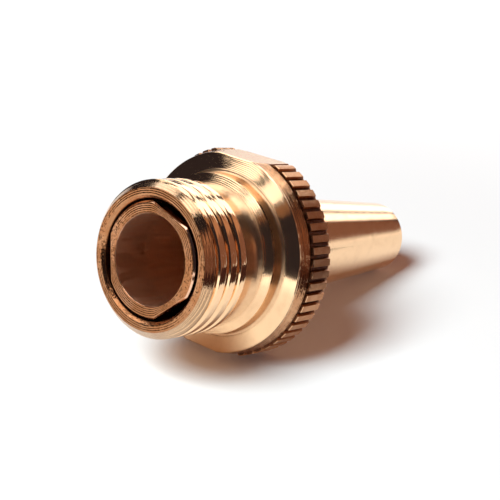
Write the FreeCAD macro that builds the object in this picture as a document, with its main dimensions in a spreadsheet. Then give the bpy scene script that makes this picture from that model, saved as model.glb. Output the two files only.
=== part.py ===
"""Laser cutting nozzle of the two-piece kind: a turned copper body with a core pressed into it.

The nozzle is drawn along X, thread face at station 0 and orifice at the far end. A station is a
distance along that axis. It is then laid down as it rests on a table: on the front edge of one
wrench flat and on the rim of its tip. Millimetres throughout.
"""
import FreeCAD, Part
import Sketcher
import math
import os

from FreeCAD import Vector

SIZES = {
    # lengths along the axis, from the thread's end face to the tip
    "lead_in": 0.5,              # bevel that starts the thread
    "thread_length": 3.5,        # end face to the last crest
    "run_out": 0.4,              # last crest down to the relief
    "relief_length": 1.45,       # relief with its corner left sharp
    "seat_length": 0.45,         # steep seat face between relief and collar
    "collar_length": 0.95,
    "rim_length": 1.0,           # plain rim of the flange, ahead of the knurl
    "knurl_length": 1.9,
    "front_bevel": 0.3,
    "shoulder_length": 3.25,     # wide root of the nose
    "nose_length": 13.1,         # slender nose, shoulder to tip
    "tip_break": 0.15,           # bevel round the tip
    # diameters of the outside
    "thread_dia": 10.0,          # over the crests, where the thread is drawn plain
    "relief_dia": 8.7,
    "collar_dia": 10.6,
    "flange_dia": 14.0,
    "nose_root_dia": 9.8,
    "shoulder_dia": 7.0,
    "tip_dia": 5.2,
    "across_flats": 13.0,
    "wrench_flat_count": 2,
    # steps, corners and edges of the outside
    "rim_step": 0.15,            # knurl's tops down to the end of the plain rim
    "rim_taper": 0.2,            # the rim's back edge is this much lower still
    "rim_crown": 20.0,           # radius that the rim's taper bulges with
    "bevel_crown": 4.0,          # the same for the front bevel
    "relief_radius": 0.6,        # cove between relief and seat face
    "flange_corner": 0.12,       # bevel that fills the corner between collar and flange
    "root_radius": 0.5,          # corner between flange and nose
    # straight knurl
    "knurl_teeth": 56,
    "tooth_depth": 0.25,
    "groove_top": 0.34,          # groove's width at the tops of the teeth
    "groove_floor": 0.16,
    # gas passage through the body
    "mouth_bevel": 0.36,         # bevel round the core at the thread's mouth
    "seat_end": 8.9,             # station where the core's seat gives way to the funnel
    "shoulder_wall": 1.0,
    "throat_dia": 2.5,
    "throat_length": 1.0,
    # the core
    "core_dia": 7.36,
    "core_fit": 0.01,            # radial room that the press fit is drawn with
    "core_recess": 0.05,         # core's face lies this far inside the thread's
    "core_flat": 3.34,           # axis to each of the gas flats
    "gas_flat_count": 3,
    "core_bore_dia": 5.8,
    "core_bore_depth": 3.0,
    "core_turn": 16.9,           # degrees that the core is turned against the wrench flats
    "core_edge": 0.12,           # bevel round the core's face
    "core_lead": 0.3,            # bevel on the front end of the barrel
    "core_wall": 0.6,            # wall of the core's nose at the shoulder
    "gas_gap": 0.4,              # ring-shaped passage between the core's nose and the body
    "core_setback": 1.6,         # core's tip lies this far inside the body's
    "orifice_dia": 1.0,
    "orifice_length": 1.5,
}

# What a sketch calls the start and end of an edge, and its own origin. An arc's start is the end that
# it leaves anticlockwise, so one that is crossed clockwise has the two the other way round.
LINE_ENDS = (1, 2)
CROWN_ENDS = (2, 1)
ORIGIN = (-1, 1)

# Stations along the axis, each worked out from the lengths
LAST_CREST = "sizes.thread_length"
RELIEF_START = "(sizes.thread_length + sizes.run_out)"
SEAT_START = f"({RELIEF_START} + sizes.relief_length)"
COLLAR_START = f"({SEAT_START} + sizes.seat_length)"
FLANGE_BACK = f"({COLLAR_START} + sizes.collar_length)"
KNURL_START = f"({FLANGE_BACK} + sizes.rim_length)"
KNURL_END = f"({KNURL_START} + sizes.knurl_length)"
FLANGE_FRONT = f"({KNURL_END} + sizes.front_bevel)"
SHOULDER = f"({FLANGE_FRONT} + sizes.shoulder_length)"
TIP = f"({SHOULDER} + sizes.nose_length)"

# Radii that two features share
THREAD_R = "sizes.thread_dia / 2"
COLLAR_R = "sizes.collar_dia / 2"
FLANGE_R = "sizes.flange_dia / 2"
RIM_END_R = f"({FLANGE_R} - sizes.rim_step)"
RIM_R = f"({RIM_END_R} - sizes.rim_taper)"
SEAT_R = "(sizes.core_dia / 2 + sizes.core_fit)"
FUNNEL_R = "(sizes.shoulder_dia / 2 - sizes.shoulder_wall)"
THROAT_R = "sizes.throat_dia / 2"

# The core's nose follows the passage at gas_gap: its tip lies on the slender cone of the passage
CORE_TIP = f"({TIP} - sizes.core_setback)"
BARREL_END = "(sizes.seat_end - sizes.core_lead)"
CONE_SHARE = f"(({CORE_TIP} - {SHOULDER}) / ({TIP} - sizes.throat_length - {SHOULDER}))"
CORE_TIP_R = f"({FUNNEL_R} + ({THROAT_R} - {FUNNEL_R}) * {CONE_SHARE} - sizes.gas_gap)"

# At rest the axis dips until the flat's front edge and the tip's rim both touch the table
HALF_FLATS = "sizes.across_flats / 2"
TIP_R = "sizes.tip_dia / 2"
DIP = f"atan(({HALF_FLATS} - {TIP_R}) / ({TIP} - sizes.tip_break - {FLANGE_FRONT}))"
FACE_R = f"({THREAD_R} - sizes.lead_in)"
REACH = f"({TIP} * cos({DIP}) + ({TIP_R} - sizes.tip_break - {FACE_R}) * sin({DIP}))"
HEIGHT = f"({FLANGE_FRONT} * sin({DIP}) + {HALF_FLATS} * cos({DIP}))"
LYING = f"placement(vector(-{REACH} / 2; 0; {HEIGHT}); rotation(vector(0; 1; 0); {DIP}))"
TURNED_CORE = "placement(vector(0; 0; 0); rotation(vector(1; 0; 0); sizes.core_turn))"


def make_sheet(doc):
    """Spreadsheet of driving sizes: name in column A, plain number with that alias in column B."""
    sheet = doc.addObject("Spreadsheet::Sheet", "sizes")
    for row, (name, size) in enumerate(SIZES.items(), start=1):
        sheet.set(f"A{row}", name)
        sheet.set(f"B{row}", str(size))
        sheet.setAlias(f"B{row}", name)
    doc.recompute()
    return sheet


def value(obj, expression):
    """Number that an expression in the sheet's aliases has now."""
    result = obj.evalExpression(expression)
    return float(getattr(result, "Value", result))


def origin_feature(body, role):
    """Origin plane or axis of a body, found by its role."""
    return next(item for item in body.Origin.OriginFeatures if item.Role == role)


def crown(start, stop, radius):
    """Arc of the given radius from start to stop that bulges to the left of the way between them."""
    chord = stop - start
    inward = Vector(chord.y, -chord.x, 0).normalize()
    centre = (start + stop) / 2 + inward * math.sqrt(radius ** 2 - chord.Length ** 2 / 4)
    first, last = (math.atan2(end.y - centre.y, end.x - centre.x) for end in (stop, start))
    return Part.ArcOfCircle(Part.Circle(centre, Vector(0, 0, 1), radius), first, last)


def outline(body, name, role, points, offset=None):
    """Closed sketch, each corner held to its pair of expressions.

    The edge that leaves a corner is straight, or bulges outwards with the radius that the corner has as
    its third expression. The sketch lies on the origin plane with the given role, moved along that
    plane's normal by the offset expression where there is one.
    """
    sketch = body.newObject("Sketcher::SketchObject", name)
    sketch.AttachmentSupport = (origin_feature(body, role), [""])
    sketch.MapMode = "FlatFace"
    if offset:
        sketch.setExpression("AttachmentOffset.Base.z", offset)
    corners = [Vector(value(body, across), value(body, up), 0) for across, up, *_ in points]
    ends = [CROWN_ENDS if len(point) > 2 else LINE_ENDS for point in points]
    for index, (corner, (_, _, *bulge)) in enumerate(zip(corners, points)):
        following = corners[(index + 1) % len(corners)]
        sketch.addGeometry(crown(corner, following, value(body, bulge[0])) if bulge
                           else Part.LineSegment(corner, following), False)
    for index, (across, up, *bulge) in enumerate(points):
        before = (index - 1) % len(points)
        first = ends[index][0]
        sketch.addConstraint(Sketcher.Constraint("Coincident", before, ends[before][1], index, first))
        hold(sketch, across, "DistanceX", *ORIGIN, index, first, corners[index].x)
        hold(sketch, up, "DistanceY", *ORIGIN, index, first, corners[index].y)
        if bulge:
            hold(sketch, bulge[0], "Radius", index, value(body, bulge[0]))
    return sketch


def hold(sketch, expression, *constraint):
    """Dimension of a sketch, bound to its expression."""
    number = sketch.addConstraint(Sketcher.Constraint(*constraint))
    sketch.setExpression(f"Constraints[{number}]", expression)


def revolve(body, kind, name, sketch):
    """Full turn of a sketch about the nozzle's axis, as a Revolution or a Groove."""
    feature = body.newObject(kind, name)
    feature.Profile = sketch
    feature.ReferenceAxis = (origin_feature(body, "X_Axis"), [""])
    feature.Angle = 360
    return feature


def pocket(body, name, sketch, length):
    """Cut of a sketch towards the thread end, as deep as its length expression says."""
    feature = body.newObject("PartDesign::Pocket", name)
    feature.Profile = sketch
    feature.Type = "Length"
    feature.setExpression("Length", length)
    return feature


def around(body, name, feature, count):
    """Copies of a cut, evenly spaced about the nozzle's axis, as many as the count expression says."""
    pattern = body.newObject("PartDesign::PolarPattern", name)
    pattern.Originals = [feature]
    pattern.Axis = (origin_feature(body, "X_Axis"), [""])
    pattern.Angle = 360
    pattern.setExpression("Occurrences", count)
    body.Tip = pattern


def rings_at(feature, station, radius):
    """Names of a feature's round edges at one station and radius."""
    found = []
    for number, edge in enumerate(feature.Shape.Edges, start=1):
        curve = edge.Curve
        if isinstance(curve, Part.Circle) and abs(curve.Radius - radius) < 1e-6:
            if abs(curve.Center.x - station) < 1e-6 and abs(curve.Center.y) + abs(curve.Center.z) < 1e-6:
                found.append(f"Edge{number}")
    return found


def round_corner(body, name, base, station, radius, size):
    """Fillet of the ring where two turned surfaces meet."""
    rings = rings_at(base, value(body, station), value(body, radius))
    fillet = body.newObject("PartDesign::Fillet", name)
    fillet.Base = (base, rings)
    fillet.setExpression("Radius", size)
    body.Document.recompute()
    return fillet


def make_body(doc):
    """Outer body: thread, relief, collar, knurled flange with two wrench flats, and nose."""
    body = doc.addObject("PartDesign::Body", "nozzle_body")
    body.Label = "nozzle_body"
    turned = outline(body, "body_profile", "XZ_Plane", [
        ("0", "0"),
        ("0", FACE_R),
        ("sizes.lead_in", THREAD_R),
        (LAST_CREST, THREAD_R),
        (RELIEF_START, "sizes.relief_dia / 2"),
        (SEAT_START, "sizes.relief_dia / 2"),
        (COLLAR_START, COLLAR_R),
        (f"{FLANGE_BACK} - sizes.flange_corner", COLLAR_R),
        (FLANGE_BACK, f"{COLLAR_R} + sizes.flange_corner"),
        (FLANGE_BACK, RIM_R, "sizes.rim_crown"),
        (KNURL_START, RIM_END_R),
        (KNURL_START, FLANGE_R),
        (KNURL_END, FLANGE_R, "sizes.bevel_crown"),
        (FLANGE_FRONT, f"{FLANGE_R} - sizes.front_bevel"),
        (FLANGE_FRONT, "sizes.nose_root_dia / 2"),
        (SHOULDER, "sizes.shoulder_dia / 2"),
        (f"{TIP} - sizes.tip_break", TIP_R),
        (TIP, f"{TIP_R} - sizes.tip_break"),
        (TIP, "0"),
    ])
    solid = revolve(body, "PartDesign::Revolution", "turned_outside", turned)
    doc.recompute()
    cove = round_corner(body, "relief_cove", solid, SEAT_START, "sizes.relief_dia / 2", "sizes.relief_radius")
    round_corner(body, "nose_root", cove, FLANGE_FRONT, "sizes.nose_root_dia / 2", "sizes.root_radius")
    cut_knurl(body)
    cut_wrench_flats(body)
    passage = outline(body, "passage_profile", "XZ_Plane", [
        ("0", "0"),
        ("0", f"{SEAT_R} + sizes.mouth_bevel"),
        ("sizes.mouth_bevel", SEAT_R),
        ("sizes.seat_end", SEAT_R),
        (SHOULDER, FUNNEL_R),
        (f"{TIP} - sizes.throat_length", THROAT_R),
        (TIP, THROAT_R),
        (TIP, "0"),
    ])
    revolve(body, "PartDesign::Groove", "gas_passage", passage)
    body.setExpression("Placement", LYING)
    return body


def cut_knurl(body):
    """Straight knurl: one groove with sloping sides, run out over the front bevel, repeated round."""
    root = f"({FLANGE_R} - sizes.tooth_depth)"
    above = f"({FLANGE_R} + sizes.tooth_depth)"
    floor = "sizes.groove_floor / 2"
    wide = "(sizes.groove_top - sizes.groove_floor / 2)"
    section = outline(body, "groove_section", "YZ_Plane", [
        (f"-{floor}", root),
        (floor, root),
        (wide, above),
        (f"-{wide}", above),
    ], offset=FLANGE_FRONT)
    groove = pocket(body, "knurl_groove", section, "sizes.knurl_length + sizes.front_bevel")
    around(body, "knurl", groove, "sizes.knurl_teeth")


def cut_wrench_flats(body):
    """Two flats across the flange, for a spanner."""
    past = f"({FLANGE_R} + sizes.tooth_depth)"
    section = outline(body, "flat_section", "YZ_Plane", [
        (f"-{past}", HALF_FLATS),
        (past, HALF_FLATS),
        (past, past),
        (f"-{past}", past),
    ], offset=FLANGE_FRONT)
    flat = pocket(body, "wrench_flat", section, f"{FLANGE_FRONT} - {FLANGE_BACK} + sizes.collar_length / 2")
    around(body, "wrench_flats", flat, "sizes.wrench_flat_count")


def make_core(doc):
    """Inner core: a barrel with gas flats, then a nose that follows the body's passage."""
    core = doc.addObject("PartDesign::Body", "inner_core")
    core.Label = "inner_core"
    barrel_r = "sizes.core_dia / 2"
    bore_r = "sizes.core_bore_dia / 2"
    turned = outline(core, "core_profile", "XZ_Plane", [
        ("sizes.core_recess", bore_r + " + sizes.core_edge / 2"),
        ("sizes.core_recess", barrel_r + " - sizes.core_edge"),
        ("sizes.core_recess + sizes.core_edge", barrel_r),
        (BARREL_END, barrel_r),
        ("sizes.seat_end", barrel_r + " - sizes.core_lead"),
        ("sizes.seat_end", f"{SEAT_R} - sizes.gas_gap"),
        (SHOULDER, f"{FUNNEL_R} - sizes.gas_gap"),
        (CORE_TIP, CORE_TIP_R),
        (CORE_TIP, "sizes.orifice_dia / 2"),
        (f"{CORE_TIP} - sizes.orifice_length", "sizes.orifice_dia / 2"),
        (SHOULDER, f"{FUNNEL_R} - sizes.gas_gap - sizes.core_wall"),
        ("sizes.core_bore_depth", bore_r),
        ("sizes.core_recess + sizes.core_edge / 2", bore_r),
    ])
    revolve(core, "PartDesign::Revolution", "turned_core", turned)
    doc.recompute()
    past = f"({barrel_r} + sizes.core_edge)"
    section = outline(core, "gas_flat_section", "YZ_Plane", [
        (f"-{past}", "sizes.core_flat"),
        (past, "sizes.core_flat"),
        (past, past),
        (f"-{past}", past),
    ], offset="sizes.seat_end")
    flat = pocket(core, "gas_flat", section, "sizes.seat_end")
    around(core, "gas_flats", flat, "sizes.gas_flat_count")
    core.setExpression("Placement", f"{LYING} * {TURNED_CORE}")
    return core


def check(doc, pieces):
    """Stop unless every object is sound and every piece is one valid solid."""
    for item in doc.Objects:
        if {"Invalid", "Error"} & set(item.State):
            raise RuntimeError(f"{item.Name} failed: {item.State}")
    for piece in pieces:
        shape = piece.Shape
        if shape.isNull() or not shape.isValid() or len(shape.Solids) != 1:
            raise RuntimeError(f"{piece.Label} isn't one valid solid")


def main():
    """Build the sheet and both pieces, check them, and write each one's STEP file."""
    doc = FreeCAD.newDocument("laser_nozzle")
    make_sheet(doc)
    pieces = [make_body(doc), make_core(doc)]
    doc.recompute()
    check(doc, pieces)
    os.makedirs("parts", exist_ok=True)
    for piece in pieces:
        piece.Shape.exportStep(f"parts/{piece.Label}.step")
        box = piece.Shape.optimalBoundingBox(False, False)
        print(f"{piece.Label}: {piece.Shape.Volume:.2f} mm3, x {box.XMin:.3f} to {box.XMax:.3f}, "
              f"y {box.YMin:.3f} to {box.YMax:.3f}, z {box.ZMin:.3f} to {box.ZMax:.3f}")


main()
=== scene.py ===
import logging
import math
from dataclasses import astuple, dataclass, field, fields
from enum import Enum

import bpy
import numpy as np
from mathutils import Matrix


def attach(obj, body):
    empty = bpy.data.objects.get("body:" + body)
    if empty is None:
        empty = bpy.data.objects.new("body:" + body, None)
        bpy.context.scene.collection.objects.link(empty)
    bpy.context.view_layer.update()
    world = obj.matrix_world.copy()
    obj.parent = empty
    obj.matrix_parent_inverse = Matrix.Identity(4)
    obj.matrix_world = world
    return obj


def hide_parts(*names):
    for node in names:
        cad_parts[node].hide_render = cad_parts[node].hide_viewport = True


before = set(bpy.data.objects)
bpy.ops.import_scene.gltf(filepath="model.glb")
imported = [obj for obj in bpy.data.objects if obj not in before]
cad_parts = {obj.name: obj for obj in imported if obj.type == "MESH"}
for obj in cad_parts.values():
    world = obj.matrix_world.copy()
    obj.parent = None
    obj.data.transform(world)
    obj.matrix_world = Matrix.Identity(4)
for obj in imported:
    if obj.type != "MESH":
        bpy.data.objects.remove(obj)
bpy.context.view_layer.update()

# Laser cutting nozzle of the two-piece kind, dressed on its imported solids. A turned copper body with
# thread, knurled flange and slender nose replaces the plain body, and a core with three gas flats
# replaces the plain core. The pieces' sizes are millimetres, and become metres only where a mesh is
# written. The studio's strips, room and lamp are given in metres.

MM = 0.001
NEAR = 0.001  # millimetres within which two stations or radii count as the same
log = logging.getLogger("nozzle")


def linear(code: str) -> tuple[float, float, float, float]:
    """Turn an sRGB hex colour into linear values.

    Args:
        code: colour as "#RRGGBB".

    Returns:
        Red, green, blue and alpha, each channel c as c/12.92 below 0.04045 and ((c+0.055)/1.055)^2.4
        above it.
    """
    channels = [int(code[i:i + 2], 16) / 255 for i in (1, 3, 5)]
    red, green, blue = (c / 12.92 if c <= 0.04045 else ((c + 0.055) / 1.055) ** 2.4 for c in channels)
    return red, green, blue, 1.0


@dataclass(frozen=True)
class Lying:
    """Where the nozzle's axis lies in the row frame, as the plain solids have it."""

    dip: float = math.radians(13.53633)
    face_x: float = -12.545
    face_z: float = 8.648

    @property
    def axis(self) -> np.ndarray:
        """Unit vector along the axis, from thread to tip."""
        return np.array([math.cos(self.dip), 0.0, -math.sin(self.dip)])

    @property
    def up(self) -> np.ndarray:
        """Unit vector square to the axis, out of the upper wrench flat."""
        return np.array([math.sin(self.dip), 0.0, math.cos(self.dip)])

    @property
    def face_centre(self) -> np.ndarray:
        """Centre of the thread's end face, in millimetres."""
        return np.array([self.face_x, 0.0, self.face_z])

    def lay(self, station: np.ndarray, radius: np.ndarray, angle: np.ndarray) -> np.ndarray:
        """Place points of a turned surface in the row frame.

        Args:
            station: distance along the axis from the thread's end face, millimetres.
            radius: distance from the axis, millimetres.
            angle: turn about the axis from the upper wrench flat's normal towards +Y, radians.

        Returns:
            Points in metres: face centre + station * axis + radius * (cos angle * up + sin angle * Y).
        """
        across = np.array([0.0, 1.0, 0.0])
        points = (self.face_centre + station[..., None] * self.axis
                  + (radius * np.cos(angle))[..., None] * self.up
                  + (radius * np.sin(angle))[..., None] * across)
        return points * MM


@dataclass(frozen=True)
class Finish:
    """What one kind of cut leaves on the metal, and what became of it since.

    Attributes:
        polish: roughness of the metal between its lines.
        slope: slope of its turning lines.
        pitch: spacing of those lines, millimetres.
        stain_and_shade: 0 for fresh metal, 1 for deep copper brown, 2 for dark; the values above 1 are
            painted shade in grooves, slots and recesses.
        drawn: strength of streaks along the axis.
        bias: slope that all its lines share, because the tool cut them one-sided.
    """

    polish: float
    slope: float
    pitch: float
    stain_and_shade: float = 0.0
    drawn: float = 0.0
    bias: float = 0.0


MARKS = tuple(mark.name for mark in fields(Finish))
STAIN_AND_SHADE, BIAS = MARKS.index("stain_and_shade"), MARKS.index("bias")


class Cut(Enum):
    """Kinds of surface on the nozzle, each with its finish."""

    FINE = Finish(0.09, 0.03, 0.13)
    CREST = Finish(0.08, 0.02, 0.13)
    LEAD = Finish(0.16, 0.07, 0.13, stain_and_shade=0.3, bias=-0.80)
    DRAWN = Finish(0.28, 0.09, 0.13, stain_and_shade=0.3)
    SEAT = Finish(0.10, 0.10, 0.13, stain_and_shade=0.1)
    RIM = Finish(0.16, 0.22, 0.14, stain_and_shade=0.75)
    FACED = Finish(0.07, 0.05, 0.13, bias=-0.53)
    END = Finish(0.22, 0.24, 0.13, stain_and_shade=0.95)
    MOUTH = Finish(0.20, 0.10, 0.12, stain_and_shade=0.9)
    KNURL = Finish(0.34, 0.05, 0.12, stain_and_shade=0.85)
    # Floors of the knurl's grooves: rough, with painted shade.
    SHADED_GROOVE = Finish(0.45, 0.0, 0.12, stain_and_shade=1.75)
    MILLED = Finish(0.16, 0.02, 0.12)
    BORE = Finish(0.34, 0.05, 0.15, drawn=1.7)
    # Painted shade: near-black colour put into the knurl's seam, the teeth's end walls, and the body's bore
    # and relief inside the mouth, where shade falls.
    DARK = Finish(0.35, 0.08, 0.20, stain_and_shade=1.8)

    @property
    def marks(self) -> tuple[float, ...]:
        """The finish as plain numbers, in the order of MARKS."""
        return astuple(self.value)


@dataclass(frozen=True)
class Corner:
    """Corner of a turned profile, with the stretch that leads to it.

    Attributes:
        station: place along the axis.
        radius: distance from the axis.
        blend: radius that rounds the corner, 0 where it stays sharp.
        steps: rows that the stretch up to this corner is divided into.
        cut: finish of that stretch.
    """

    station: float
    radius: float
    blend: float = 0.0
    steps: int = 1
    cut: Cut = Cut.FINE


@dataclass
class Profile:
    """Rows of a turned surface: stations, radii, running length and finish, one value a row."""

    station: np.ndarray
    radius: np.ndarray
    finish: np.ndarray

    @property
    def run(self) -> np.ndarray:
        """Length along the profile up to each row."""
        leaps = np.hypot(np.diff(self.station), np.diff(self.radius))
        return np.concatenate(([0.0], np.cumsum(leaps)))


def trace(corners: list[Corner], arc_steps: int = 5) -> Profile:
    """Trace a closed profile through its corners, rounding those that have a blend.

    A rounded corner leaves each of its two edges at the distance blend * tan(half turn) and follows the
    circle of that radius between them. Edges are divided evenly.

    Args:
        corners: the corners in order; the last one joins the first.
        arc_steps: rows on each rounded corner.

    Returns:
        The profile's rows.
    """
    places = np.array([[c.station, c.radius] for c in corners])
    rows: list[np.ndarray] = []
    finish: list[tuple[float, ...]] = []
    ends: list[tuple[np.ndarray, np.ndarray]] = []
    arcs: list[np.ndarray] = []
    for index, corner in enumerate(corners):
        here, before, after = places[index], places[index - 1], places[(index + 1) % len(corners)]
        to_before = (before - here) / np.linalg.norm(before - here)
        to_after = (after - here) / np.linalg.norm(after - here)
        if corner.blend <= 0:
            ends.append((here, here))
            arcs.append(here[None, :])
            continue
        half = math.acos(float(np.clip(to_before @ to_after, -1, 1))) / 2
        reach = corner.blend / math.tan(half)
        middle = (to_before + to_after) / np.linalg.norm(to_before + to_after)
        centre = here + middle * corner.blend / math.sin(half)
        start, stop = here + to_before * reach, here + to_after * reach
        share = np.linspace(0, 1, arc_steps + 1)[:, None]
        ray = (start - centre) * (1 - share) + (stop - centre) * share
        ray *= corner.blend / np.linalg.norm(ray, axis=1, keepdims=True)
        arcs.append(centre + ray)
        ends.append((start, stop))
    for index, corner in enumerate(corners):
        leave, reach_to = ends[index - 1][1], ends[index][0]
        share = np.linspace(0, 1, corner.steps + 1)[1:-1, None]
        stretch = leave * (1 - share) + reach_to * share
        both = np.concatenate([stretch, arcs[index]])
        rows.append(both)
        finish += [corner.cut.marks] * len(both)
    line = np.concatenate(rows)
    return Profile(line[:, 0], line[:, 1], np.array(finish))


@dataclass
class TurnedPiece:
    """Closed surface turned about the nozzle's axis, with cuts that vary round it."""

    name: str
    lying: Lying
    sharp_from: float = math.radians(26)

    def write(self, run: np.ndarray, station: np.ndarray, radius: np.ndarray, angle: np.ndarray,
              finish: np.ndarray) -> bpy.types.Object:
        """Write the grid of a closed profile, turned full circle, as one mesh.

        Each point joins its neighbours along and round the grid, and both directions close on
        themselves, so the surface has no border.

        Args:
            run: running length of the profile, one a row.
            station: stations of the grid, rows by columns.
            radius: radii of the grid.
            angle: angles of the grid.
            finish: what each point's cut holds, rows by columns by marks.

        Returns:
            The new object, at the origin.
        """
        rows, columns = station.shape
        points = self.lying.lay(station, radius, angle).reshape(-1, 3)
        row = np.arange(rows)[:, None] * columns
        row_next = np.roll(row, -1, axis=0)
        column = np.arange(columns)[None, :]
        column_next = np.roll(column, -1, axis=1)
        quads = np.stack([row + column, row_next + column,
                          row_next + column_next, row + column_next], -1)
        mesh = bpy.data.meshes.new(self.name)
        mesh.from_pydata(points, [], quads.reshape(-1, 4))
        self.mark(mesh, "run", np.broadcast_to(run[:, None], station.shape))
        for index, name in enumerate(MARKS):
            self.mark(mesh, name, finish[:, :, index])
        mesh.shade_smooth()
        mesh.set_sharp_from_angle(angle=self.sharp_from)
        mesh.update()
        made = bpy.data.objects.new(self.name, mesh)
        bpy.context.scene.collection.objects.link(made)
        return made

    @staticmethod
    def mark(mesh: bpy.types.Mesh, name: str, values: np.ndarray) -> None:
        """Keep one number a point in the mesh, for the material to read."""
        layer = mesh.attributes.new(name, "FLOAT", "POINT")
        layer.data.foreach_set("value", np.ascontiguousarray(values, dtype=np.float32).ravel())


def ripple(angle: np.ndarray, seed: int, waves: int, base: int) -> np.ndarray:
    """Smooth closed wobble round the circle: the mean of cosines whose phases come from the seed.

    Args:
        angle: angles round the circle.
        seed: start of the random phases.
        waves: how many cosines are summed.
        base: whole waves round the circle that the slowest of them has.

    Returns:
        The wobble, within -1 to 1.
    """
    dice = np.random.default_rng(seed)
    order = base + np.arange(waves)
    phase = dice.uniform(0, 2 * math.pi, waves)
    return np.cos(angle[..., None] * order + phase).sum(-1) / waves


@dataclass
class NozzleBody(TurnedPiece):
    """Outer body: thread, relief, collar, flange with knurl and two wrench flats, nose, gas passage.

    All its sizes are millimetres, and its stations count from the thread's end face. An r at the end of
    a name stands for a radius.
    """

    # Section from the thread to the flange
    thread_r: float = 5.0
    lead_in: float = 0.5
    last_crest: float = 3.5
    relief_start: float = 3.9
    relief_r: float = 4.35
    seat_start: float = 5.35
    collar_start: float = 5.8
    collar_r: float = 5.3
    flange_back: float = 6.75
    rim_r: float = 6.65
    rim_end_r: float = 6.85
    knurl_start: float = 7.75
    knurl_end: float = 9.65
    flange_r: float = 7.0
    flange_front: float = 9.95
    bevel: float = 0.3

    # Seam between the flange's plain rim and its knurl
    slot_depth: float = 0.14
    slot_lead: float = 0.1
    slot_width: float = 0.05
    tooth_break: float = 0.05
    tooth_start: float = 0.01

    # Rounds, and the section of the nose
    collar_fillet: float = 0.2
    rim_round: float = 0.06
    rim_break: float = 0.02
    nose_fillet: float = 0.5
    nose_root_r: float = 4.9
    shoulder: float = 13.2
    shoulder_r: float = 3.5
    tip: float = 26.3
    tip_r: float = 2.6
    tip_break: float = 0.15

    # Wrench flats: half the distance across them, and the least cosine that it is divided by
    half_flats: float = 6.5
    least_cosine: float = 0.2

    # Gas passage from the mouth to the tip
    mouth_r: float = 4.05
    mouth_bevel: float = 0.2
    mouth_relief: float = 0.9
    seat_r: float = 3.69
    seat_end: float = 8.9
    throat_r: float = 1.25
    throat_length: float = 1.0
    funnel_r: float = 2.5

    # Thread: its groove's form, the painted shade in its root, and the crowding of rows at its edges
    pitch: float = 1.0
    groove_width: float = 0.42
    groove_root: float = 0.1
    groove_depth: float = 0.32
    groove_phase: float = 1.72
    thread_round: float = 0.03
    crest_round: float = 0.035
    crowd_edges: float = 0.55
    crowd_crests: float = 0.35
    crowd_fade: float = 0.35
    root_painted_shade: float = 1.6
    root_from: float = 0.9
    root_half: float = 0.06
    root_shift: float = 0.02
    root_margin: float = 0.1

    # Knurl: its grooves' form, the shares of their depth that count as floor and as painted shade,
    # unevenness
    teeth: int = 56
    tooth_depth: float = 0.25
    groove_top: float = 0.34
    groove_floor: float = 0.16
    floor_share: float = 0.999
    painted_shade_share: float = 0.6
    tooth_unevenness: float = 0.12
    tooth_drift: float = 0.4
    tooth_seed: int = 11

    # Lean of the flange's faced side, which is slightly hollow, and the turn that the photo shows
    face_lean: float = -0.57
    face_lean_change: float = 0.10
    photo_turn: float = math.radians(73.9)

    def corners(self) -> list[Corner]:
        """List the section's corners, from the mouth's edge outside to the tip and back inside.

        Returns:
            Corners of the closed section.
        """
        front_r = self.flange_r - self.bevel
        slot_r = self.rim_end_r - self.slot_depth
        relief_r = self.mouth_r - self.mouth_bevel
        teeth = self.knurl_start + self.tooth_start
        return [
            Corner(0.0, self.mouth_r, 0.03, 4, Cut.MOUTH),
            Corner(0.0, self.thread_r - self.lead_in, 0.04, 5, Cut.END),
            Corner(self.lead_in, self.thread_r, 0.0, 14, Cut.LEAD),
            Corner(self.last_crest, self.thread_r, 0.0, 84, Cut.CREST),
            Corner(self.relief_start, self.relief_r, 0.0, 12, Cut.CREST),
            Corner(self.seat_start, self.relief_r, 0.6, 4, Cut.DRAWN),
            Corner(self.collar_start, self.collar_r, 0.03, 4, Cut.SEAT),
            Corner(self.flange_back, self.collar_r, self.collar_fillet, 4, Cut.DRAWN),
            Corner(self.flange_back, self.rim_r, self.rim_round, 6, Cut.FACED),
            Corner(self.knurl_start - self.slot_lead, self.rim_end_r - self.rim_break, 0.02, 8, Cut.RIM),
            # The slot's seam and the teeth's end walls carry painted shade.
            Corner(self.knurl_start - self.slot_width, slot_r, 0.0, 2, Cut.DARK),
            Corner(self.knurl_start, slot_r, 0.0, 1, Cut.DARK),
            Corner(teeth, self.flange_r - self.tooth_break, 0.0, 2, Cut.DARK),
            Corner(teeth + self.tooth_break, self.flange_r, 0.0, 1, Cut.FINE),
            Corner(self.knurl_start + self.slot_lead, self.flange_r, 0.0, 1, Cut.KNURL),
            Corner(self.knurl_end, self.flange_r, 0.0, 12, Cut.KNURL),
            Corner(self.flange_front, front_r, 0.0, 4, Cut.KNURL),
            Corner(self.flange_front, self.nose_root_r, self.nose_fillet, 5, Cut.FINE),
            Corner(self.shoulder, self.shoulder_r, 6.0, 6, Cut.FINE),
            Corner(self.tip - self.tip_break, self.tip_r, 0.04, 14, Cut.FINE),
            Corner(self.tip, self.tip_r - self.tip_break, 0.04, 2, Cut.FINE),
            Corner(self.tip, self.throat_r, 0.05, 5, Cut.END),
            Corner(self.tip - self.throat_length, self.throat_r, 0.0, 3, Cut.BORE),
            Corner(self.shoulder, self.funnel_r, 0.0, 5, Cut.BORE),
            Corner(self.seat_end, self.seat_r, 0.0, 4, Cut.BORE),
            # The body's bore behind the core, seen through the gas flats, and the relief inside the mouth
            # carry painted shade.
            Corner(self.mouth_relief + self.mouth_bevel, self.seat_r, 0.0, 4, Cut.DARK),
            Corner(self.mouth_relief, relief_r, 0.0, 1, Cut.DARK),
            Corner(self.mouth_bevel, relief_r, 0.0, 2, Cut.DARK),
        ]

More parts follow.
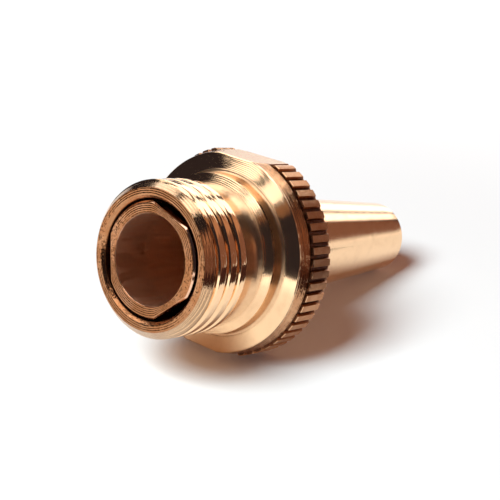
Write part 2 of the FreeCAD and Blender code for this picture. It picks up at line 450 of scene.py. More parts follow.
    def columns(self) -> np.ndarray:
        """Place the grid's columns at both edges of each knurl groove's floor and top, and on each tooth.

        Returns:
            Angles of the columns.
        """
        step = 2 * math.pi / self.teeth
        floor = self.groove_floor / 2 / (self.flange_r - self.tooth_depth)
        top = self.groove_top / 2 / self.flange_r
        tooth = np.linspace(top, step - top, 4)
        offsets = np.concatenate(([-floor, floor], tooth))
        return (np.arange(self.teeth)[:, None] * step + offsets[None, :]).ravel()

    def phase(self, station: np.ndarray, angle: np.ndarray) -> np.ndarray:
        """Measure the distance from the nearest turn of the groove, whose centre advances one pitch a turn.

        Args:
            station: stations of the grid.
            angle: angles of the grid.

        Returns:
            Distance along the axis, from minus to plus half a pitch.
        """
        centre = self.groove_phase - (angle + self.photo_turn) / (2 * math.pi) * self.pitch
        turns = (station - centre) / self.pitch
        return (turns - np.round(turns)) * self.pitch

    def crowd(self, station: np.ndarray, radius: np.ndarray, angle: np.ndarray) -> np.ndarray:
        """Move the threaded rows along the axis, so that they crowd at the groove's two edges.

        With p as the phase in pitches, e as crowd_edges and c as crowd_crests, the shift is
        pitch * (e sin(4 pi p) / 4 pi - c sin(2 pi p) / 2 pi). It dies away over crowd_fade at each end.

        Args:
            station: stations of the grid.
            radius: radii of the grid.
            angle: angles of the grid.

        Returns:
            New stations.
        """
        turn = self.phase(station, angle) / self.pitch * 2 * math.pi
        shift = self.pitch * (self.crowd_edges * np.sin(2 * turn) / (4 * math.pi)
                              - self.crowd_crests * np.sin(turn) / (2 * math.pi))
        fade = np.clip(np.minimum(station, self.relief_start - station) / self.crowd_fade, 0, 1)
        threaded = (station > 0.0) & (station < self.relief_start) & (radius > self.relief_r)
        return station + np.where(threaded, shift * fade, 0.0)

    def thread(self, station: np.ndarray, radius: np.ndarray, angle: np.ndarray) -> np.ndarray:
        """Shape the thread between the end face and the relief.

        The blank is the lowest of the starting bevel, the crest and the run-out. The groove's flanks rise
        evenly from its root to the crest. Blank and groove meet in a small round, 0.5 * (a + b -
        sqrt((a - b)^2 + k^2)).

        Args:
            station: stations of the grid.
            radius: radii of the grid.
            angle: angles of the grid.

        Returns:
            Radii, shaped where the thread runs.
        """
        bevel = self.thread_r - self.lead_in + station
        run_out = (self.thread_r - (station - self.last_crest) * (self.thread_r - self.relief_r)
                   / (self.relief_start - self.last_crest))
        blank = self.soft_lower(bevel, self.thread_r, self.thread_round)
        blank = self.soft_lower(blank, run_out, self.thread_round)
        out = np.abs(self.phase(station, angle)) - self.groove_root / 2
        climb = 0.5 * (out + np.sqrt(out ** 2 + self.thread_round ** 2))
        slope = self.groove_depth / (self.groove_width - self.groove_root) * 2
        groove = self.thread_r - self.groove_depth + slope * climb
        threaded = ((station > 20 * NEAR) & (station < self.relief_start - NEAR)
                    & (radius > self.relief_r + NEAR))
        return np.where(threaded, self.soft_lower(blank, groove, self.crest_round), radius)

    @staticmethod
    def soft_lower(one: np.ndarray, other: np.ndarray | float, width: float) -> np.ndarray:
        """Lower of two heights, with a round of about that width where they cross."""
        return 0.5 * (one + other - np.sqrt((one - other) ** 2 + width ** 2))

    def knurl(self, station: np.ndarray, radius: np.ndarray, angle: np.ndarray) -> np.ndarray:
        """Roll the straight knurl: grooves with sloping sides, whose depth wanders a little round it.

        Args:
            station: stations of the grid.
            radius: radii of the grid.
            angle: angles of the grid.

        Returns:
            Radii, lowered in the grooves.
        """
        step = 2 * math.pi / self.teeth
        off = np.abs((angle / step + 0.5) % 1 - 0.5) * step
        floor = self.groove_floor / 2 / (self.flange_r - self.tooth_depth)
        top = self.groove_top / 2 / self.flange_r
        share = np.clip((top - off) / (top - floor), 0, 1)
        share = np.where(share > self.floor_share, 1.0, share)
        rolled = ((station > self.knurl_start + self.tooth_start / 2)
                  & (station < self.flange_front + self.tooth_start) & (radius > self.nose_root_r))
        wobble = ripple(angle + station * self.tooth_drift, self.tooth_seed, waves=7, base=17)
        uneven = 1 + self.tooth_unevenness * wobble
        lowered = np.minimum(radius, self.flange_r - self.tooth_depth * share * uneven)
        return np.where(rolled, np.where(share > 0, lowered, radius), radius)

    def flats(self, station: np.ndarray, radius: np.ndarray, angle: np.ndarray) -> np.ndarray:
        """Mill the two wrench flats: no radius reaches past half_flats / |cos angle|.

        Rows of the two end faces are drawn in evenly instead, so that none of them meet on the edge.

        Args:
            station: stations of the grid.
            radius: radii of the grid.
            angle: angles of the grid.

        Returns:
            Radii, limited to the flats.
        """
        limit = self.half_flats / np.maximum(np.abs(np.cos(angle)), self.least_cosine)
        front_r = self.flange_r - self.bevel
        back_inner = self.collar_r + self.collar_fillet
        front_inner = self.nose_root_r + self.nose_fillet
        cut = np.where(station > self.flange_back + NEAR, np.minimum(radius, limit), radius)
        on_back = (np.abs(station - self.flange_back) <= self.rim_round + NEAR) & (radius > back_inner)
        on_front = (np.abs(station - self.flange_front) < NEAR) & (radius > front_inner)
        cut = np.where(on_back, self.drawn_in(radius, back_inner, self.rim_r, limit), cut)
        cut = np.where(on_front, self.drawn_in(radius, front_inner, front_r, limit), cut)
        flange = ((station > self.flange_back - 10 * NEAR) & (station < self.flange_front + NEAR)
                  & (radius > self.nose_root_r))
        return np.where(flange, cut, radius)

    @staticmethod
    def drawn_in(radius: np.ndarray, inner: float, outer: float, limit: np.ndarray) -> np.ndarray:
        """Draw a face's radii in evenly, so that its outer edge lies on the limit.

        Args:
            radius: radii of the grid.
            inner: radius at which the drawing in starts.
            outer: radius of the face's edge.
            limit: radius that the flat allows at each point.

        Returns:
            inner + (radius - inner) / (outer - inner) * (min(outer, limit) - inner).
        """
        share = (radius - inner) / (outer - inner)
        return inner + share * (np.minimum(outer, limit) - inner)

    def build(self) -> bpy.types.Object:
        """Build the mesh of the whole body.

        Returns:
            The body, with its finish kept point by point.
        """
        profile = trace(self.corners())
        angle = np.broadcast_to(self.columns()[None, :], (len(profile.station), len(self.columns())))
        station = np.broadcast_to(profile.station[:, None], angle.shape)
        radius = np.broadcast_to(profile.radius[:, None], angle.shape).copy()
        finish = np.broadcast_to(profile.finish[:, None, :], (*angle.shape, profile.finish.shape[1])).copy()
        station = self.crowd(station, radius, angle)
        radius = self.thread(station, radius, angle)
        # A thin line of painted shade runs along the thread's root.
        in_thread = ((station > self.root_from * self.lead_in)
                     & (station < self.last_crest + self.root_margin)
                     & (radius > self.relief_r + self.root_margin))
        in_root = np.abs(self.phase(station, angle) - self.root_shift) < self.root_half
        finish[in_thread & in_root, STAIN_AND_SHADE] = self.root_painted_shade
        rolled = self.knurl(station, radius, angle)
        # Deep in the knurl's grooves the metal gets painted shade.
        finish[rolled < radius - self.painted_shade_share * self.tooth_depth] = Cut.SHADED_GROOVE.marks
        milled = self.flats(station, rolled, angle)
        on_face = ((np.abs(station - self.flange_back) < NEAR)
                   & (radius > self.collar_r + self.collar_fillet - NEAR))
        outward = (radius[on_face] - self.collar_r) / (self.rim_r - self.collar_r)
        finish[on_face, BIAS] = self.face_lean + self.face_lean_change * outward
        side = (station > self.flange_back + self.rim_round + NEAR) & (station < self.flange_front - NEAR)
        finish[side & (milled < rolled - NEAR)] = Cut.MILLED.marks
        return self.write(profile.run, station, milled, angle, finish)

    def dress(self, body: bpy.types.Object, copper: "TurnedCopper") -> None:
        """Give the body its metal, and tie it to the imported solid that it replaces.

        Args:
            body: what build made.
            copper: metal of the body.
        """
        body.data.materials.append(copper.make(self.lying))
        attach(body, "root")
        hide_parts("nozzle_body")


@dataclass
class InnerCore(TurnedPiece):
    """Core pressed into the body: a barrel with three gas flats, and a nose that ends in the orifice."""

    recess: float = 0.05
    barrel_r: float = 3.68
    flat: float = 3.34
    bore_r: float = 2.9
    bore_depth: float = 3.0
    bore_edge: float = 0.05
    edge: float = 0.12
    barrel_end: float = 8.9
    barrel_bevel: float = 0.3
    shoulder: float = 13.2
    nose_root_r: float = 3.29
    shoulder_r: float = 2.1
    tip: float = 24.7
    tip_r: float = 0.95
    orifice_r: float = 0.5
    orifice_length: float = 1.5
    wall: float = 0.6
    turn: float = math.radians(-16.9)
    flat_columns: int = 17
    round_columns: int = 25

    def corners(self) -> list[Corner]:
        """List the section's corners, from the bore's edge outside to the tip and back through the bore.

        Returns:
            Corners of the closed section.
        """
        return [
            Corner(self.recess, self.bore_r + self.bore_edge, 0.02, 2, Cut.END),
            Corner(self.recess, self.barrel_r - self.edge, 0.02, 6, Cut.END),
            Corner(self.recess + self.edge, self.barrel_r, 0.02, 3, Cut.FINE),
            Corner(self.barrel_end - self.barrel_bevel, self.barrel_r, 0.0, 14, Cut.FINE),
            Corner(self.barrel_end, self.barrel_r - self.barrel_bevel, 0.0, 3, Cut.FINE),
            Corner(self.barrel_end, self.nose_root_r, 0.0, 2, Cut.FINE),
            Corner(self.shoulder, self.shoulder_r, 0.0, 6, Cut.FINE),
            Corner(self.tip, self.tip_r, 0.0, 8, Cut.FINE),
            Corner(self.tip, self.orifice_r, 0.0, 2, Cut.END),
            Corner(self.tip - self.orifice_length, self.orifice_r, 0.0, 3, Cut.BORE),
            Corner(self.shoulder, self.shoulder_r - self.wall, 0.0, 6, Cut.BORE),
            Corner(self.bore_depth, self.bore_r, 0.0, 8, Cut.BORE),
            Corner(self.recess + self.bore_edge, self.bore_r, 0.02, 10, Cut.BORE),
        ]

    def columns(self) -> np.ndarray:
        """Place the grid's columns on the gas flats' own edges and evenly between them.

        Returns:
            Angles of the columns.
        """
        half = math.acos(self.flat / self.barrel_r)
        third = 2 * math.pi / 3
        across_flat = np.linspace(-half, half, self.flat_columns)
        round_back = np.linspace(half, third - half, self.round_columns)[1:-1]
        offsets = np.concatenate((across_flat, round_back))
        return (np.arange(3)[:, None] * third + offsets[None, :]).ravel() + self.turn

    def build(self) -> bpy.types.Object:
        """Build the core, whose outside stays within flat / cos of the angle from the nearest flat's normal.

        Returns:
            The core, with its finish kept point by point.
        """
        profile = trace(self.corners(), arc_steps=3)
        angle = np.broadcast_to(self.columns()[None, :], (len(profile.station), len(self.columns())))
        station = np.broadcast_to(profile.station[:, None], angle.shape)
        radius = np.broadcast_to(profile.radius[:, None], angle.shape)
        third = 2 * math.pi / 3
        off = ((angle - self.turn) / third + 0.5) % 1 - 0.5
        limit = np.minimum(self.flat / np.cos(off * third), self.barrel_r)
        outer = (radius > self.bore_r + 20 * NEAR) & (station <= self.barrel_end)
        share = (radius - self.bore_r) / (self.barrel_r - self.bore_r)
        drawn_in = self.bore_r + share * (limit - self.bore_r)
        finish = np.broadcast_to(profile.finish[:, None, :], (*angle.shape, profile.finish.shape[1]))
        return self.write(profile.run, station, np.where(outer, drawn_in, radius), angle, finish)

    def dress(self, core: bpy.types.Object, copper: "TurnedCopper") -> None:
        """Give the core its metal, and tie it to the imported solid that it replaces.

        Args:
            core: what build made.
            copper: metal of the core.
        """
        core.data.materials.append(copper.make(self.lying))
        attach(core, "root")
        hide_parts("inner_core")


def add(tree: bpy.types.NodeTree, kind: str, settings: dict | None = None, **inputs) -> bpy.types.Node:
    """Add one node with its settings, and fill or link its inputs.

    Args:
        tree: node tree that gets the node.
        kind: the node's type name.
        settings: attributes of the node itself.
        inputs: input sockets by name, with spaces as underscores, or by number as i0, i1 and so on; a
            socket value is linked and anything else is set.

    Returns:
        The new node.
    """
    node = tree.nodes.new(kind)
    for name, value in (settings or {}).items():
        setattr(node, name, value)
    for name, value in inputs.items():
        numbered = name[0] == "i" and name[1:].isdigit()
        socket = node.inputs[int(name[1:]) if numbered else name.replace("_", " ")]
        if isinstance(value, bpy.types.NodeSocket):
            tree.links.new(value, socket)
        else:
            socket.default_value = value
    return node


@dataclass(frozen=True)
class TurnedCopper:
    """Free-cutting copper, turned on a lathe and left bare: warm metal with fine rings from the tool.

    The rings lie round the axis, so highlights draw out across them. Each ring is a real small slope of
    the surface, 0.12 to 0.15 mm apart, as the tool's feed leaves them. Sawn and rolled places are coloured
    deeper brown and grainy, grooves, slots and recesses hold painted shade down to near black, and the
    reamed bore has streaks along it.

    Attributes:
        name: name of the material.
        metal: colour of fresh metal.
        deep: colour at stain_and_shade 1, a deep copper brown.
        dark: colour at stain_and_shade 2, the painted shade of grooves, slots and recesses.
        mottle_mm: size of the patches of brown tone and painted shade.
        grain_mm: size of the grain on browned and shaded places.
        wander_mm: length over which the rings drift.
        streak_mm: length over which a streak changes along the axis.
        anisotropy: how far highlights draw out across the rings.
        rub: lean of the grain at stain_and_shade 1.
        patchiness: how much the brown tone and painted shade differ from patch to patch.
        wear: how much the roughness differs from patch to patch.
        drift: how far the rings drift, in rings.
        unevenness: uneven slope that comes on top of the even rings, as a share of theirs.
        shared: the shared slope that is left on each ring's crest, as a share.
        crest_band: values of the rings' sine between which it falls to that share.
        streak_turns: how fast the streaks change round the axis.
        streak_lean: lean from the weakest streak to the strongest.
    """

    name: str
    metal: str = "#FDD3A6"
    deep: str = "#B0744A"
    # dark is the colour of the painted shade in grooves, slots and recesses.
    dark: str = "#4A2A20"
    mottle_mm: float = 0.9
    grain_mm: float = 0.15
    wander_mm: float = 1.3
    streak_mm: float = 7.0
    anisotropy: float = 0.5
    rub: float = 0.6
    patchiness: float = 0.6
    wear: float = 0.05
    drift: float = 0.35
    unevenness: float = 2.6
    shared: float = 0.6
    crest_band: tuple[float, float] = (0.5, 0.9)
    streak_turns: float = 4.5
    streak_lean: float = 2.4

    def make(self, lying: Lying) -> bpy.types.Material:
        """Make the material.

        Args:
            lying: where the axis runs, for the rings' direction.

        Returns:
            The material, which reads Object coordinates and the mesh's own marks.
        """
        material = bpy.data.materials.new(self.name)
        material.use_nodes = True
        tree = material.node_tree
        tree.nodes.clear()
        where = add(tree, "ShaderNodeTexCoord").outputs["Object"]
        marks = {name: add(tree, "ShaderNodeAttribute", {"attribute_name": name}).outputs["Fac"]
                 for name in ("run", *MARKS)}
        arm = self.vector(tree, "SUBTRACT", i0=where, i1=tuple(lying.face_centre * MM))
        round_ = self.vector(tree, "CROSS_PRODUCT", i0=tuple(lying.axis), i1=arm)
        round_ = self.vector(tree, "NORMALIZE", i0=round_)
        mottle = self.noise(tree, where, self.mottle_mm, detail=4.0, roughness=0.6).outputs["Fac"]
        rough = self.number(tree, "MULTIPLY_ADD", i0=mottle, i1=self.wear, i2=marks["polish"])
        colour = self.colour(tree, mottle, marks["stain_and_shade"])
        shader = add(tree, "ShaderNodeBsdfPrincipled", {}, Base_Color=colour, Metallic=1.0,
                     Roughness=rough, Anisotropic=self.anisotropy, Anisotropic_Rotation=0.25,
                     Tangent=round_, Normal=self.leaning(tree, where, round_, marks))
        add(tree, "ShaderNodeOutputMaterial", {}, Surface=shader.outputs[0])
        return material

    @staticmethod
    def vector(tree: bpy.types.NodeTree, operation: str, **inputs) -> bpy.types.NodeSocket:
        """Add one step of vector arithmetic and return its result."""
        return add(tree, "ShaderNodeVectorMath", {"operation": operation}, **inputs).outputs[0]

    @staticmethod
    def number(tree: bpy.types.NodeTree, operation: str, settings: dict | None = None,
               **inputs) -> bpy.types.NodeSocket:
        """Add one step of plain arithmetic and return its result."""
        both = {"operation": operation, **(settings or {})}
        return add(tree, "ShaderNodeMath", both, **inputs).outputs[0]

    @staticmethod
    def noise(tree: bpy.types.NodeTree, where: bpy.types.NodeSocket, size_mm: float, detail: float,
              roughness: float = 0.5) -> bpy.types.Node:
        """Add soft noise whose patches have that size in millimetres."""
        return add(tree, "ShaderNodeTexNoise", {}, Vector=where, Scale=1 / (size_mm * MM),
                   Detail=detail, Roughness=roughness)

    def colour(self, tree: bpy.types.NodeTree, mottle: bpy.types.NodeSocket,
               stain_and_shade_mark: bpy.types.NodeSocket) -> bpy.types.NodeSocket:
        """Mix the metal's colour, from metal to deep brown at stain_and_shade 1 and on to the dark painted
        shade at 2.

        Args:
            tree: node tree of the material.
            mottle: noise that makes the brown tone and painted shade patchy.
            stain_and_shade_mark: brown tone of the cut, with painted shade above 1.

        Returns:
            The colour's socket.
        """
        uneven = self.number(tree, "MULTIPLY_ADD", i0=mottle, i1=self.patchiness, i2=-self.patchiness / 2)
        stain_and_shade = self.number(tree, "ADD", i0=stain_and_shade_mark, i1=uneven)
        first = self.number(tree, "ADD", {"use_clamp": True}, i0=stain_and_shade, i1=0.0)
        second = self.number(tree, "SUBTRACT", {"use_clamp": True}, i0=stain_and_shade, i1=1.0)
        brown = add(tree, "ShaderNodeMix", {"data_type": "RGBA"}, i0=first, i6=linear(self.metal),
                    i7=linear(self.deep)).outputs[2]
        return add(tree, "ShaderNodeMix", {"data_type": "RGBA"}, i0=second, i6=brown,
                   i7=linear(self.dark)).outputs[2]

    def leaning(self, tree: bpy.types.NodeTree, where: bpy.types.NodeSocket, round_: bpy.types.NodeSocket,
                marks: dict[str, bpy.types.NodeSocket]) -> bpy.types.NodeSocket:
        """Lean the normal along the profile by the rings, round the axis by the streaks, and by the grain.

        Args:
            tree: node tree of the material.
            where: Object coordinates.
            round_: direction round the axis.
            marks: the mesh's marks by name.

        Returns:
            The unit vector of n + rings * (round x n) + streaks * round + stain * rub * grain.
        """
        normal = add(tree, "ShaderNodeNewGeometry").outputs["Normal"]
        along = self.vector(tree, "CROSS_PRODUCT", i0=round_, i1=normal)
        grain = self.noise(tree, where, self.grain_mm, detail=2.0, roughness=0.7).outputs["Color"]
        grain = self.vector(tree, "SUBTRACT", i0=grain, i1=(0.5, 0.5, 0.5))
        rub = self.number(tree, "MULTIPLY", i0=marks["stain_and_shade"], i1=self.rub)
        leaning = normal
        for direction, amount in ((along, self.rings(tree, where, marks)),
                                  (round_, self.streaks(tree, where, normal, marks)),
                                  (grain, rub)):
            lean = self.vector(tree, "SCALE", i0=direction, Scale=amount)
            leaning = self.vector(tree, "ADD", i0=leaning, i1=lean)
        return self.vector(tree, "NORMALIZE", i0=leaning)

    def rings(self, tree: bpy.types.NodeTree, where: bpy.types.NodeSocket,
              marks: dict[str, bpy.types.NodeSocket]) -> bpy.types.NodeSocket:
        """Work out the rings' slope: a sine of the running length with noise on top, and the shared bias.

        Args:
            tree: node tree of the material.
            where: Object coordinates.
            marks: the mesh's marks by name.

        Returns:
            slope * (sine + noise) + bias, where the bias falls to its shared part on each crest.
        """
        wander = self.noise(tree, where, self.wander_mm, detail=2.0).outputs["Fac"]
        turns = self.number(tree, "DIVIDE", i0=marks["run"], i1=marks["pitch"])
        turns = self.number(tree, "MULTIPLY_ADD", i0=wander, i1=self.drift, i2=turns)
        uneven = add(tree, "ShaderNodeTexNoise", {"noise_dimensions": "1D"}, W=turns, Scale=1.0,
                     Detail=3.0, Roughness=0.75).outputs["Fac"]
        uneven = self.number(tree, "MULTIPLY_ADD", i0=uneven, i1=self.unevenness, i2=-self.unevenness / 2)
        sine = self.number(tree, "SINE", i0=self.number(tree, "MULTIPLY", i0=turns, i1=2 * math.pi))
        both = self.number(tree, "ADD", i0=sine, i1=uneven)
        low, high = self.crest_band
        kept = add(tree, "ShaderNodeMapRange", {}, Value=sine, From_Min=low, From_Max=high, To_Min=1.0,
                   To_Max=self.shared).outputs[0]
        bias = self.number(tree, "MULTIPLY", i0=marks["bias"], i1=kept)
        return self.number(tree, "MULTIPLY_ADD", i0=both, i1=marks["slope"], i2=bias)

    def streaks(self, tree: bpy.types.NodeTree, where: bpy.types.NodeSocket,
                normal: bpy.types.NodeSocket,
                marks: dict[str, bpy.types.NodeSocket]) -> bpy.types.NodeSocket:
        """Work out the reamer's streaks: noise that changes fast round the axis and slowly along it.

        Args:
            tree: node tree of the material.
            where: Object coordinates.
            normal: the surface's own normal, which turns with the place round the axis.
            marks: the mesh's marks by name.

        Returns:
            Lean to one side, round the axis.
        """
        along = self.vector(tree, "SCALE", i0=where, Scale=1 / (self.streak_mm * MM))
        turned = self.vector(tree, "SCALE", i0=normal, Scale=self.streak_turns)
        place = self.vector(tree, "ADD", i0=turned, i1=along)
        noise = add(tree, "ShaderNodeTexNoise", {}, Vector=place, Scale=1.0, Detail=3.0,
                    Roughness=0.7).outputs["Fac"]
        lean = self.number(tree, "MULTIPLY_ADD", i0=noise, i1=self.streak_lean, i2=-self.streak_lean / 2)
        return self.number(tree, "MULTIPLY", i0=lean, i1=marks["drawn"])


@dataclass(frozen=True)
class Sky:
    """Part of the room as the nozzle mirrors it, bounded by compass and height angles in degrees."""

    name: str
    compass: tuple[float, float]
    height: tuple[float, float]
    colour: str
    strength: float = 1.0


@dataclass(frozen=True)
class Strip:
    """Long soft box or wall beside the nozzle, as the metal mirrors it.

    Each station gives the place along the axis in metres and the strip's two edges there, as angles in
    degrees from the upper wrench flat's normal towards +Y. The strip hangs at that distance from the
    axis, in metres.
    """

    name: str
    stations: tuple[tuple[float, float, float], ...]
    strength: float
    colour: str = "#FFFFFF"
    away: float = 0.3


@dataclass(frozen=True)
class Ground:
    """Part of the table as the nozzle mirrors it, given by its corners and its lift in millimetres."""

    name: str
    corners: tuple[tuple[float, float], ...]
    colour: str
    lift: float = 0.2


@dataclass(frozen=True)
class Lamp:
    """Square soft box that lights the table: where it hangs, in metres, its side and its brightness."""

    name: str
    centre: tuple[float, float, float]
    side: float
    strength: float
    colour: str = "#E5F7FD"


@dataclass
class Studio:
    """White table, the room that the metal mirrors, the lamp over the table, and the camera.

    Attributes:
        lens: focal length for a sensor as wide as sensor, millimetres.
        camera_place: the camera's place in millimetres.
        camera_right: the picture's direction to the right.
        camera_back: direction from the scene to the camera.
        camera_range: distances in metres between which the camera sees.
        table_half: half the table's side in metres.
        floor_colour: colour of the table.
        floor_lift: glow of the table near the nozzle, where it is looked at.
        far_lift: what comes on top of that glow far from the nozzle.
        lift_reach: distances in millimetres between which it comes on.
        fill_colour: colour of the light that reaches into the table's shadow.
        fill: strength of that light.
        sky_away: radius in metres of the sphere that holds the first part of the room.
        sky_step: how much nearer each later part is.
        tile: widest step between points of the room, degrees.
        strip_columns: points across each strip.
    """

    lens: float = 86.4
    sensor: float = 36.0
    camera_place: tuple[float, float, float] = (-61.25, -47.14, 38.91)
    camera_right: tuple[float, float, float] = (0.6368, -0.7704, 0.0319)
    camera_back: tuple[float, float, float] = (-0.7149, -0.5744, 0.3987)
    camera_range: tuple[float, float] = (0.005, 10.0)
    table_half: float = 1.5
    floor_colour: str = "#F3F1EF"
    floor_lift: float = 0.03
    far_lift: float = 0.3
    lift_reach: tuple[float, float] = (20.0, 90.0)
    fill_colour: str = "#FFA179"
    fill: float = 0.22
    sky_away: float = 1.3
    sky_step: float = 0.02
    tile: float = 6.0
    strip_columns: int = 5
    skies: list[Sky] = field(default_factory=list)
    strips: list[Strip] = field(default_factory=list)
    grounds: list[Ground] = field(default_factory=list)
    lamps: list[Lamp] = field(default_factory=list)

    def seen(self, tree: bpy.types.NodeTree) -> bpy.types.NodeSocket:
        """Tell rays from the camera, a reflection or a refraction apart from all others.

        Args:
            tree: node tree that asks.

        Returns:
            One for such a ray, nothing for others.
        """
        path = add(tree, "ShaderNodeLightPath").outputs
        either = add(tree, "ShaderNodeMath", {"operation": "MAXIMUM"}, i0=path["Is Camera Ray"],
                     i1=path["Is Glossy Ray"]).outputs[0]
        return add(tree, "ShaderNodeMath", {"operation": "MAXIMUM"}, i0=either,
                   i1=path["Is Transmission Ray"]).outputs[0]

    def world(self) -> None:
        """Put white behind everything that is looked at, and a dim warm fill into the table's shadow."""
        world = bpy.data.worlds.new("white_surroundings")
        world.use_nodes = True
        tree = world.node_tree
        tree.nodes.clear()
        seen = self.seen(tree)
        level = add(tree, "ShaderNodeMix", {"data_type": "FLOAT"}, i0=seen, i2=self.fill, i3=1.0).outputs[0]
        colour = add(tree, "ShaderNodeMix", {"data_type": "RGBA"}, i0=seen, i6=linear(self.fill_colour),
                     i7=linear("#FFFFFF")).outputs[2]
        back = add(tree, "ShaderNodeBackground", {}, Color=colour, Strength=level)
        add(tree, "ShaderNodeOutputWorld", {}, Surface=back.outputs[0])
        bpy.context.scene.world = world

    def floor(self) -> None:
        """Lay the level white table, lifted a little where it is looked at, with the shadow kept."""
        material = bpy.data.materials.new("white_card")
        material.use_nodes = True
        tree = material.node_tree
        tree.nodes.clear()
        plain = add(tree, "ShaderNodeBsdfDiffuse", {}, Color=linear(self.floor_colour))
        where = add(tree, "ShaderNodeTexCoord").outputs["Object"]
        away = add(tree, "ShaderNodeVectorMath", {"operation": "LENGTH"}, i0=where).outputs["Value"]
        near, far = (reach * MM for reach in self.lift_reach)
        lift = add(tree, "ShaderNodeMapRange", {"interpolation_type": "SMOOTHSTEP"}, Value=away,
                   From_Min=near, From_Max=far, To_Min=self.floor_lift,
                   To_Max=self.floor_lift + self.far_lift).outputs[0]
        gain = add(tree, "ShaderNodeMath", {"operation": "MULTIPLY"}, i0=self.seen(tree), i1=lift)
        glow = add(tree, "ShaderNodeEmission", {}, Color=linear("#FFFFFF"), Strength=gain.outputs[0])
        total = add(tree, "ShaderNodeAddShader", {}, i0=plain.outputs[0], i1=glow.outputs[0])
        add(tree, "ShaderNodeOutputMaterial", {}, Surface=total.outputs[0])
        half = self.table_half
        corners = np.array([(-half, -half, 0), (half, -half, 0), (half, half, 0), (-half, half, 0)])
        self.mesh("table", corners, [(0, 1, 2, 3)], material)

    def mesh(self, name: str, points: np.ndarray, faces: list,
             material: bpy.types.Material) -> bpy.types.Object:
        """Make one plain object of the studio.

        Args:
            name: its name.
            points: its points in metres.
            faces: the points of each face.
            material: what it is made of.

        Returns:
            The new object, at the origin.
        """
        made = bpy.data.meshes.new(name)
        made.from_pydata(points, [], faces)
        made.materials.append(material)
        thing = bpy.data.objects.new(name, made)
        bpy.context.scene.collection.objects.link(thing)
        return thing

    def mirrored(self, part: Sky | Strip | Ground, points: np.ndarray, faces: list,
                 strength: float) -> None:
        """Stand one evenly glowing part of the studio where only the metal's reflections find it.

        It lights nothing by itself and keeps out of every other kind of ray.

        Args:
            part: the part, for its name and colour.
            points: its points in metres.
            faces: the points of each face.
            strength: how brightly it glows.
        """
        material = bpy.data.materials.new(part.name)
        material.use_nodes = True
        material.cycles.emission_sampling = "NONE"
        tree = material.node_tree
        tree.nodes.clear()
        light = add(tree, "ShaderNodeEmission", {}, Color=linear(part.colour), Strength=strength)
        add(tree, "ShaderNodeOutputMaterial", {}, Surface=light.outputs[0])
        thing = self.mesh(part.name, points, faces, material)
        thing.visible_camera = False
        thing.visible_diffuse = False
        thing.visible_shadow = False
        thing.visible_transmission = False
        thing.visible_volume_scatter = False

    @staticmethod
    def tiles(rows: int, columns: int) -> np.ndarray:
        """Points of each face of a grid, whose points count along its rows."""
        corner = (np.arange(rows - 1)[:, None] * columns + np.arange(columns - 1)[None, :]).ravel()
        return np.stack([corner + 1, corner, corner + columns, corner + columns + 1], -1)

    def sky(self, part: Sky, radius: float) -> None:
        """Stretch one part of the room over a sphere.

        With a as the compass angle and e as the height, its points are radius * (cos e cos a,
        cos e sin a, sin e).

        Args:
            part: the part of the room.
            radius: the sphere's radius in metres.
        """
        columns = 2 + int(abs(part.compass[1] - part.compass[0]) / self.tile)
        rows = 2 + int(abs(part.height[1] - part.height[0]) / self.tile)
        turn = np.radians(np.linspace(*part.compass, columns))[None, :]
        lift = np.radians(np.linspace(*part.height, rows))[:, None]
        points = np.stack([np.cos(lift) * np.cos(turn), np.cos(lift) * np.sin(turn),
                           np.broadcast_to(np.sin(lift), (rows, columns))], -1).reshape(-1, 3) * radius
        self.mirrored(part, points, self.tiles(rows, columns).tolist(), part.strength)

    def strip(self, box: Strip, lying: Lying) -> None:
        """Stretch one long strip at an even distance from the nozzle's axis.

        Args:
            box: the strip.
            lying: where the axis runs.
        """
        stations = np.array(box.stations)
        share = np.linspace(0, 1, self.strip_columns)[None, :]
        along = np.broadcast_to(stations[:, :1], (len(stations), self.strip_columns)) / MM
        angle = np.radians(stations[:, 1:2] * (1 - share) + stations[:, 2:3] * share)
        points = lying.lay(along, np.full_like(along, box.away / MM), angle).reshape(-1, 3)
        self.mirrored(box, points, self.tiles(*angle.shape).tolist(), box.strength)

    def ground(self, part: Ground) -> None:
        """Lay one coloured part of the table, outside the picture."""
        points = np.array([(x * MM, y * MM, part.lift * MM) for x, y in part.corners])
        self.mirrored(part, points, [list(range(len(points)))], 1.0)

    def lamp(self, lamp: Lamp) -> None:
        """Hang one soft box over the table, aimed at the nozzle and out of the metal's sight.

        Args:
            lamp: the soft box, whose power is its strength times its area times pi.
        """
        data = bpy.data.lights.new(lamp.name, "AREA")
        data.shape = "SQUARE"
        data.size = lamp.side
        data.energy = lamp.strength * lamp.side ** 2 * math.pi
        data.color = linear(lamp.colour)[:3]
        thing = bpy.data.objects.new(lamp.name, data)
        bpy.context.scene.collection.objects.link(thing)
        thing.visible_glossy = False
        back = np.array(lamp.centre) / np.linalg.norm(lamp.centre)
        side = np.cross([0.0, 1.0, 0.0], back)
        thing.matrix_world = self.placed(side / np.linalg.norm(side), back, np.array(lamp.centre))

    @staticmethod
    def placed(side: np.ndarray, back: np.ndarray, place: np.ndarray) -> Matrix:
        """Place something that looks away from its back.

        Args:
            side: direction of its own X.
            back: direction of its own Z.
            place: where it stands, in metres.

        Returns:
            Its matrix.
        """
        columns = np.identity(4)
        columns[:3, 0], columns[:3, 1] = side, np.cross(back, side)
        columns[:3, 2], columns[:3, 3] = back, place
        return Matrix(columns.tolist())

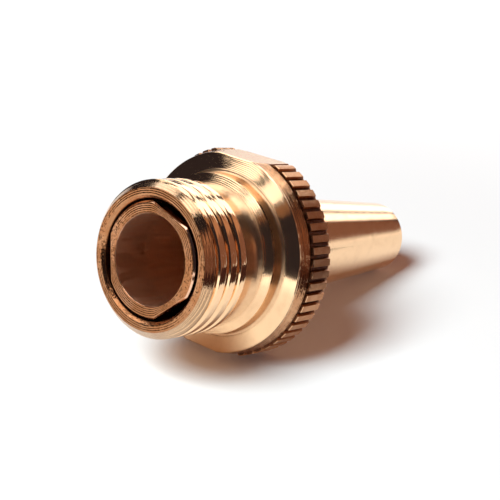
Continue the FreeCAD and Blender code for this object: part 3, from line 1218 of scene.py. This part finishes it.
    def camera(self) -> None:
        """Stand the camera where the photograph was taken, with its turn and field of view."""
        data = bpy.data.cameras.new("camera")
        data.lens = self.lens
        data.sensor_width = self.sensor
        data.clip_start, data.clip_end = self.camera_range
        camera = bpy.data.objects.new("camera", data)
        bpy.context.scene.collection.objects.link(camera)
        back = np.array(self.camera_back) / np.linalg.norm(self.camera_back)
        right = np.array(self.camera_right) - back * float(np.dot(self.camera_right, back))
        place = np.array(self.camera_place) * MM
        camera.matrix_world = self.placed(right / np.linalg.norm(right), back, place)
        bpy.context.scene.camera = camera

    def build(self, lying: Lying) -> None:
        """Build the whole studio round the nozzle.

        Args:
            lying: where the nozzle's axis runs.
        """
        self.world()
        self.floor()
        for index, part in enumerate(self.skies):
            self.sky(part, self.sky_away - self.sky_step * index)
        for box in self.strips:
            self.strip(box, lying)
        for part in self.grounds:
            self.ground(part)
        for lamp in self.lamps:
            self.lamp(lamp)
        self.camera()
        bpy.context.scene.view_settings.view_transform = "Standard"


# The room as the photograph's metal shows it. Compass angles count from +X towards +Y.
# Every part below glows evenly and is seen only in the metal's reflections: painted reflections of the room,
# its soft boxes and the table, which light nothing.
SKIES = [
    Sky("unlit_room", (-180.0, 180.0), (0.0, 90.0), "#2E2A30"),
    Sky("far_white", (12.0, 38.0), (-1.0, 4.0), "#FFFFFF", 1.3),
    Sky("warm_wall", (-85.0, -6.0), (-1.0, 16.5), "#815D50"),
    Sky("warm_wall_above", (-85.0, -6.0), (16.5, 26.0), "#BC8E73"),
]
STRIPS = [
    Strip("right_soft_box",
          ((-0.70, -3.0, 18.5), (-0.50, -3.0, 18.5), (-0.36, -12.0, 16.0), (0.38, -11.8, 14.6),
           (0.75, -11.8, 14.6)), 2.2),
    Strip("left_soft_box",
          ((-0.70, 23.4, 39.0), (-0.50, 23.4, 39.0), (-0.26, 24.4, 41.0), (-0.20, 24.6, 46.0),
           (0.10, 24.6, 56.2), (0.38, 24.6, 56.2), (0.75, 24.6, 56.2)), 2.2),
    Strip("left_gleam", ((-0.27, 45.6, 49.0), (-0.18, 52.0, 57.0)), 2.0),
    Strip("dim_side_wall", ((-0.70, -24.0, -4.0), (-0.34, -24.0, -13.0)), 1.0, "#A37A5C"),
]
GROUNDS = [
    # Painted shadow: a dark sheet laid on the table where there is only shadow, seen only in the metal's
    # reflections.
    Ground("painted_shadow_strip", ((-60.0, -46.0), (0.7, -15.0), (3.8, -13.4), (24.0, -13.6), (24.0, -34.0),
                          (-80.0, -90.0)), "#3F2724"),
    Ground("warm_table", ((-80.0, -90.0), (24.0, -34.0), (60.0, -34.0), (1000.0, -120.0),
                          (700.0, -900.0), (-100.0, -1100.0)), "#815D50"),
]
LAMPS = [Lamp("overhead_soft_box", (-0.41, 0.05, 0.49), 0.28, 25.6)]


def main() -> None:
    """Build the studio and both pieces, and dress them."""
    logging.basicConfig(level=logging.INFO, format="%(name)s: %(message)s")
    lying = Lying()
    Studio(skies=SKIES, strips=STRIPS, grounds=GROUNDS, lamps=LAMPS).build(lying)
    nozzle_body = NozzleBody("nozzle_turned_body", lying)
    body = nozzle_body.build()
    nozzle_body.dress(body, TurnedCopper("turned_copper"))
    inner_core = InnerCore("nozzle_pressed_core", lying)
    core = inner_core.build()
    inner_core.dress(core, TurnedCopper("core_copper", metal="#F9C9A6"))
    for piece in (body, core):
        log.info("%s: %d points, %d faces", piece.name, len(piece.data.vertices), len(piece.data.polygons))


if __name__ == "__main__":
    main()
